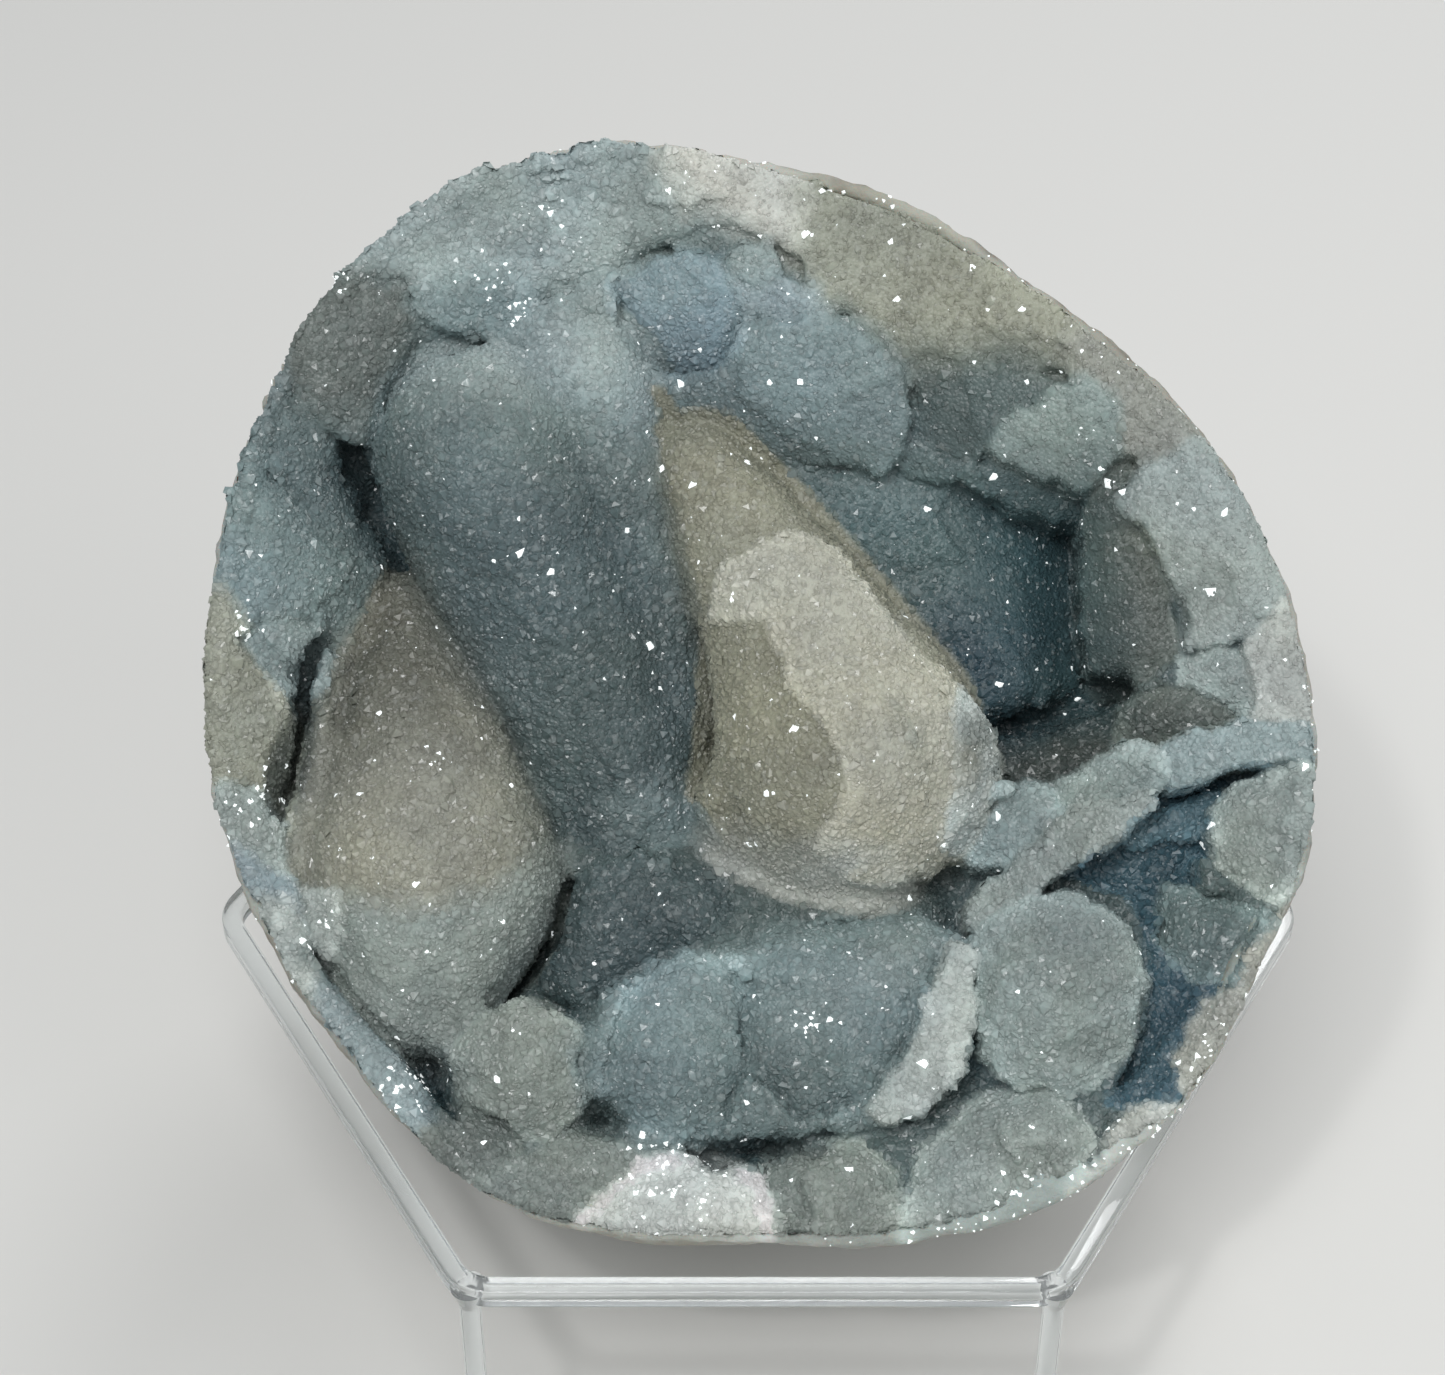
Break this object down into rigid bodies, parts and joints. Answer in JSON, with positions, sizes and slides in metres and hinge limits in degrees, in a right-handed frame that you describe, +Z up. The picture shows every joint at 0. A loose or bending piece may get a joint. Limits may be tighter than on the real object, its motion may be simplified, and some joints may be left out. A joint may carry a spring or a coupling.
{
  "type": "blue chalcedony geode half in a ring stand",
  "caption": "Half of a blue-grey chalcedony nodule, its hollow lined with sugary fingers, cones and lumps, leaning back in a clear hexagonal ring stand on four straight legs.",
  "frame": {"origin": "middle of the bounding box at its bottom, on the surface that the legs stand on", "axes": "+Z up; the broken face with the hollow looks up and towards -Y; +X to the right for someone who looks at that face"},
  "size_m": [0.133, 0.1256, 0.1225],
  "materials": {
    "rind": "rough grey-beige skin of the nodule, with a white crystalline broken edge",
    "crust": "waxy translucent blue-grey to cream chalcedony under a sparkling sugar-fine druse",
    "clear": "clear polished acrylic"
  },
  "bodies": {
    "root": {"rind": "rind", "crust": "crust", "stand_ring": "clear", "stand_leg_1": "clear", "stand_leg_2": "clear", "stand_leg_3": "clear", "stand_leg_4": "clear"}
  },
  "joints": []
}
